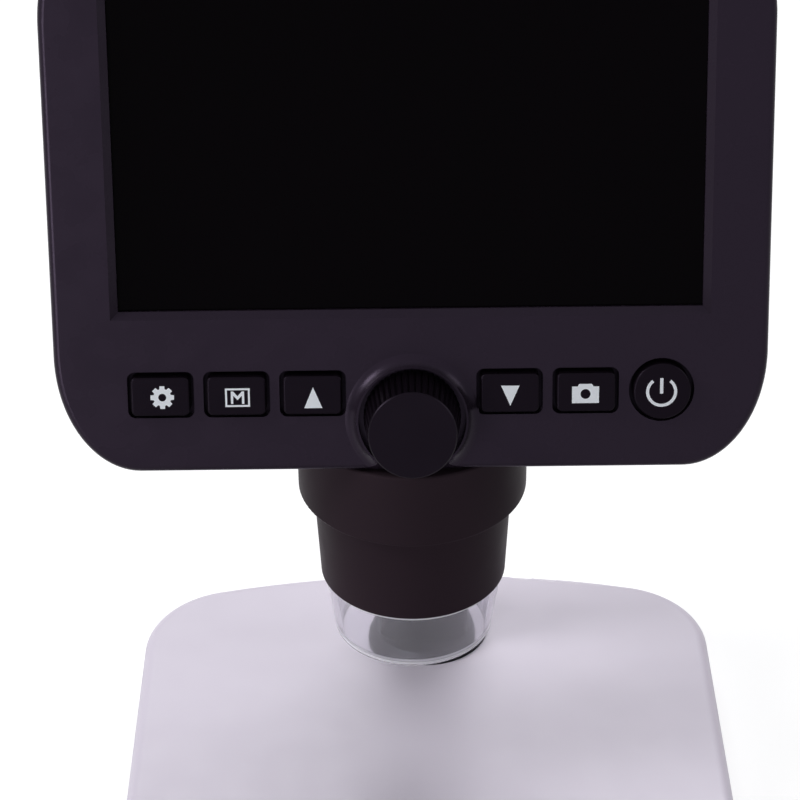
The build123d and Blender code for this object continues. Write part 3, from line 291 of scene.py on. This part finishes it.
# Nodes whose finish differs from that of their material slot
own_finishes = {
    "focus_knob": moulded("knob_plastic", BLACK_TRIM, rough=0.34, grain=5200, depth=0.012,
                          tone=0.1, Specular_IOR_Level=0.10, Specular_Tint=COOL_SHEEN),
    "carriage": moulded("black_ring_abs", BLACK_TUBE, rough=0.42, grain=3200, depth=0.014,
                        tone=0.08, Specular_IOR_Level=0.02, Specular_Tint=WARM_SHEEN),
    "optical_barrel": moulded("black_tube_abs", BLACK_TUBE, rough=0.42, grain=3200, depth=0.012,
                              tone=0.08, Specular_IOR_Level=0.02, Specular_Tint=WARM_SHEEN),
}

slot_of = {row["node"]: row["material_slot"] for row in frame["record"]["subparts"]}
for node, piece in frame["nodes"].items():
    finish = own_finishes.get(node, finishes[slot_of[node]])
    if not piece.material_slots:
        piece.data.materials.append(finish)
    for place in piece.material_slots:
        place.material = finish


# ---------------------------------------------------------------- key marks, in millimetres
MARK_LIFT = 0.004                       # gap between a cap and its mark
MARK_THICKNESS = 0.02
ARC_POINTS = 40
GEAR_TEETH = 8
GEAR_OUTER = 2.0
GEAR_INNER = 1.5
GEAR_HOLE = 0.66
GEAR_TIP_ANGLE = 0.20                   # half of a tooth's tip and of its root, in radians
GEAR_ROOT_ANGLE = 0.30
LETTER_DIP = 0.30                       # an M's middle, as a share of its height
LETTER_SHOULDER = 1.9                   # its joins, in strokes
LETTER_VALLEY = 1.7
CAMERA_LENS = 0.84
CAMERA_LENS_RISE = 0.12
POWER_OUTER = 2.6
POWER_INNER = 2.08
POWER_GAP = radians(37.6)               # half of the ring's opening
mark_ink = moulded("mark_ink", MARK_WHITE, rough=0.5, grain=3000, depth=0.004, tone=0.01)


def circle(radius, rise=0.0):
    """Points round a circle whose middle is raised."""
    angles = [2 * pi * i / ARC_POINTS for i in range(ARC_POINTS)]
    return [(radius * cos(angle), rise + radius * sin(angle)) for angle in angles]


def arc(radius, start, stop):
    """Points along an arc, with both its ends."""
    angles = [start + (stop - start) * i / (ARC_POINTS - 1) for i in range(ARC_POINTS)]
    return [(radius * cos(angle), radius * sin(angle)) for angle in angles]


def gear_outline():
    """Outline of a cog with tapered teeth."""
    points = []
    for tooth in range(GEAR_TEETH):
        middle = 2 * pi * tooth / GEAR_TEETH + pi / 2
        for offset, radius in ((-GEAR_ROOT_ANGLE, GEAR_INNER), (-GEAR_TIP_ANGLE, GEAR_OUTER),
                               (GEAR_TIP_ANGLE, GEAR_OUTER), (GEAR_ROOT_ANGLE, GEAR_INNER)):
            angle = middle + offset
            points.append((radius * cos(angle), radius * sin(angle)))
    return points


def box_outline(x0, y0, x1, y1):
    """Outline of an upright rectangle."""
    return [(x0, y0), (x1, y0), (x1, y1), (x0, y1)]


def letter_m(x0, y0, x1, y1, stroke):
    """Outline of a plain capital M."""
    middle = (x0 + x1) / 2
    dip = y0 + (y1 - y0) * LETTER_DIP
    shoulder = y1 - stroke * LETTER_SHOULDER
    return [(x0, y0), (x0 + stroke, y0), (x0 + stroke, shoulder), (middle, dip),
            (x1 - stroke, shoulder), (x1 - stroke, y0), (x1, y0), (x1, y1),
            (x1 - stroke, y1), (middle, dip + stroke * LETTER_VALLEY), (x0 + stroke, y1), (x0, y1)]


def power_ring():
    """Outline of a ring open at its top."""
    left, right = pi / 2 + POWER_GAP, 2.5 * pi - POWER_GAP
    return arc(POWER_OUTER, left, right) + arc(POWER_INNER, right, left)


def mark(name, body, shift, outlines):
    """A thin printed mark from closed outlines, holes among them, on a key's cap.

    A key's body and its cap's node share a name. shift is how far the mark stands off the cap's
    middle in the photograph.
    """
    u, v, top = cap_top(body)
    curve = bpy.data.curves.new(name, "CURVE")
    curve.dimensions = "2D"
    curve.fill_mode = "BOTH"
    curve.extrude = MARK_THICKNESS / 2
    for outline in outlines:
        spline = curve.splines.new("POLY")
        spline.points.add(len(outline) - 1)
        for point, (x, y) in zip(spline.points, outline):
            point.co = (x, y, 0, 1)
        spline.use_cyclic_u = True
    made = bpy.data.objects.new(name + "_curve", curve)
    mesh = bpy.data.meshes.new_from_object(made)
    bpy.data.objects.remove(made)
    mesh.transform(on_face(u + shift[0], v + shift[1], top + MARK_LIFT + MARK_THICKNESS / 2))
    mesh.name = name
    mesh.materials.clear()
    mesh.materials.append(mark_ink)
    piece = bpy.data.objects.new(name, mesh)
    bpy.context.scene.collection.objects.link(piece)
    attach(piece, body)


mark("mark_settings", "key_settings", (0.36, -0.08), [gear_outline(), circle(GEAR_HOLE)])
mark("mark_mode", "key_mode", (0.2, -0.24), [
    box_outline(-2.06, -1.6, 2.06, 1.6),
    box_outline(-1.74, -1.28, 1.74, 1.28),
    letter_m(-1.12, -1.08, 1.12, 1.08, 0.40),
])
mark("mark_up", "key_up", (0.1, -0.4), [[(-1.52, -1.8), (1.52, -1.8), (0, 1.8)]])
mark("mark_down", "key_down", (0.07, -0.42), [[(-1.54, 1.72), (0, -1.76), (1.54, 1.72)]])
mark("mark_camera", "key_camera", (-0.1, -0.4), [
    [(-2.25, -1.46), (2.25, -1.46), (2.25, 1.42), (1.32, 1.42), (1.05, 1.86), (-1.05, 1.86),
     (-1.32, 1.42), (-2.25, 1.42)],
    circle(CAMERA_LENS, CAMERA_LENS_RISE),
])
mark("mark_power", "key_power", (-0.12, -0.05), [power_ring(), box_outline(-0.27, -0.3, 0.27, 2.35)])


# ---------------------------------------------------------------- floor and surroundings
FLOOR_HALF = 4.0
FLOOR_TONES = (0.44, 0.44, 0.45), (0.46, 0.46, 0.47)
PAPER_SCALE = 3
NEAR, FAR = 0.6, 2.0                    # the floor's own white rises between these distances
NEAR_WHITE, FAR_WHITE = 0.68, 1.0
SKY_COLOUR = (0.96, 0.955, 1.0, 1)
SKY_LIGHT = 0.09                        # light that the sky adds to the object


def math_node(tree, operation, first, second):
    """Output of a Math node on two outputs, or on an output and a number."""
    made = tree.nodes.new("ShaderNodeMath")
    made.operation = operation
    tree.links.new(first, made.inputs[0])
    if isinstance(second, float):
        made.inputs[1].default_value = second
    else:
        tree.links.new(second, made.inputs[1])
    return made.outputs["Value"]


def rays_that_see(tree):
    """1 for a ray that sees the white backdrop: the camera's own, through glass, or off a gloss."""
    rays = tree.nodes.new("ShaderNodeLightPath").outputs
    clear = math_node(tree, "MAXIMUM", rays["Is Camera Ray"], rays["Is Transmission Ray"])
    return math_node(tree, "MAXIMUM", rays["Is Glossy Ray"], clear)


def floor():
    """A pale floor that shows white to the camera and keeps the object's shadow."""
    half = FLOOR_HALF
    mesh = bpy.data.meshes.new("floor")
    mesh.from_pydata([(-half, -half, 0), (half, -half, 0), (half, half, 0), (-half, half, 0)], [],
                     [(0, 1, 2, 3)])
    piece = bpy.data.objects.new("floor", mesh)
    bpy.context.scene.collection.objects.link(piece)
    shade = Shade("floor_paper", Specular_IOR_Level=0.1, Roughness=0.8,
                  Emission_Color=(1, 1, 1, 1))
    shade.tint(shade.noise(PAPER_SCALE, 2.0), *FLOOR_TONES)
    distance = shade.node("ShaderNodeVectorMath", operation="LENGTH")
    shade.link(shade.place, distance.inputs["Vector"])
    white = shade.node("ShaderNodeMapRange", From_Min=NEAR, From_Max=FAR, To_Min=NEAR_WHITE,
                       To_Max=FAR_WHITE)
    shade.link(distance.outputs["Value"], white.inputs["Value"])
    glow = math_node(shade.tree, "MULTIPLY", rays_that_see(shade.tree), white.outputs["Result"])
    shade.link(glow, shade.shader.inputs["Emission Strength"])
    mesh.materials.append(shade.material)


def surroundings():
    """Faint cool light from all round, and white where the camera looks past the floor."""
    world = bpy.data.worlds.new("studio")
    world.use_nodes = True
    tree = world.node_tree
    sky = tree.nodes["Background"]
    sky.inputs["Color"].default_value = SKY_COLOUR
    strength = math_node(tree, "ADD", rays_that_see(tree), SKY_LIGHT)
    tree.links.new(strength, sky.inputs["Strength"])
    bpy.context.scene.world = world


floor()
surroundings()


# ---------------------------------------------------------------- lamps
LAMPS = (
    # name, place, point it is aimed at, size, power in watts
    ("key_lamp", (-0.85, -0.12, 0.74), (0, 0, 0.08), (0.4, 0.4), 5.0),
    ("left_lamp", (-0.66, -1.10, 0.26), (0, 0, 0.12), (0.45, 0.45), 5.0),
    ("right_lamp", (1.0, 0.05, 0.62), (0, 0, 0.06), (0.5, 0.6), 1.8),
    ("rear_lamp", (0.1, 0.75, 1.0), (0, 0.05, 0.02), (1.0, 0.6), 9.8),
)


def soft_lamp(name, place, aim, size, power):
    """A large soft lamp aimed at a point."""
    lamp = bpy.data.lights.new(name, "AREA")
    lamp.shape = "RECTANGLE"
    lamp.size, lamp.size_y = size
    lamp.energy = power
    holder = bpy.data.objects.new(name, lamp)
    holder.location = place
    holder.rotation_euler = (Vector(aim) - Vector(place)).to_track_quat("-Z", "Y").to_euler()
    bpy.context.scene.collection.objects.link(holder)


for lamp_values in LAMPS:
    soft_lamp(*lamp_values)


# ---------------------------------------------------------------- camera, from the photograph
CAMERA_FROM_KNOB = Vector((-1.746, -351.55, 232.26)) * MM
CAMERA_YAW, CAMERA_PITCH, CAMERA_ROLL = -0.0008, 0.5764, -0.0118
FOCAL_PIXELS = 2514.3
IMAGE_PIXELS = 800
SENSOR_WIDTH = 36.0

ahead = Vector((sin(CAMERA_YAW) * cos(CAMERA_PITCH), cos(CAMERA_YAW) * cos(CAMERA_PITCH),
                -sin(CAMERA_PITCH)))
level = Vector((cos(CAMERA_YAW), -sin(CAMERA_YAW), 0))
above = level.cross(ahead)
across = cos(CAMERA_ROLL) * level + sin(CAMERA_ROLL) * above
upward = -sin(CAMERA_ROLL) * level + cos(CAMERA_ROLL) * above
spot = KNOB + CAMERA_FROM_KNOB
camera_data = bpy.data.cameras.new("camera")
camera_data.sensor_width = SENSOR_WIDTH
camera_data.lens = SENSOR_WIDTH * FOCAL_PIXELS / IMAGE_PIXELS
camera = bpy.data.objects.new("camera", camera_data)
camera.matrix_world = axes_at(spot, across, upward, -ahead)
bpy.context.scene.collection.objects.link(camera)
bpy.context.scene.camera = camera
bpy.context.scene.view_settings.view_transform = "Standard"
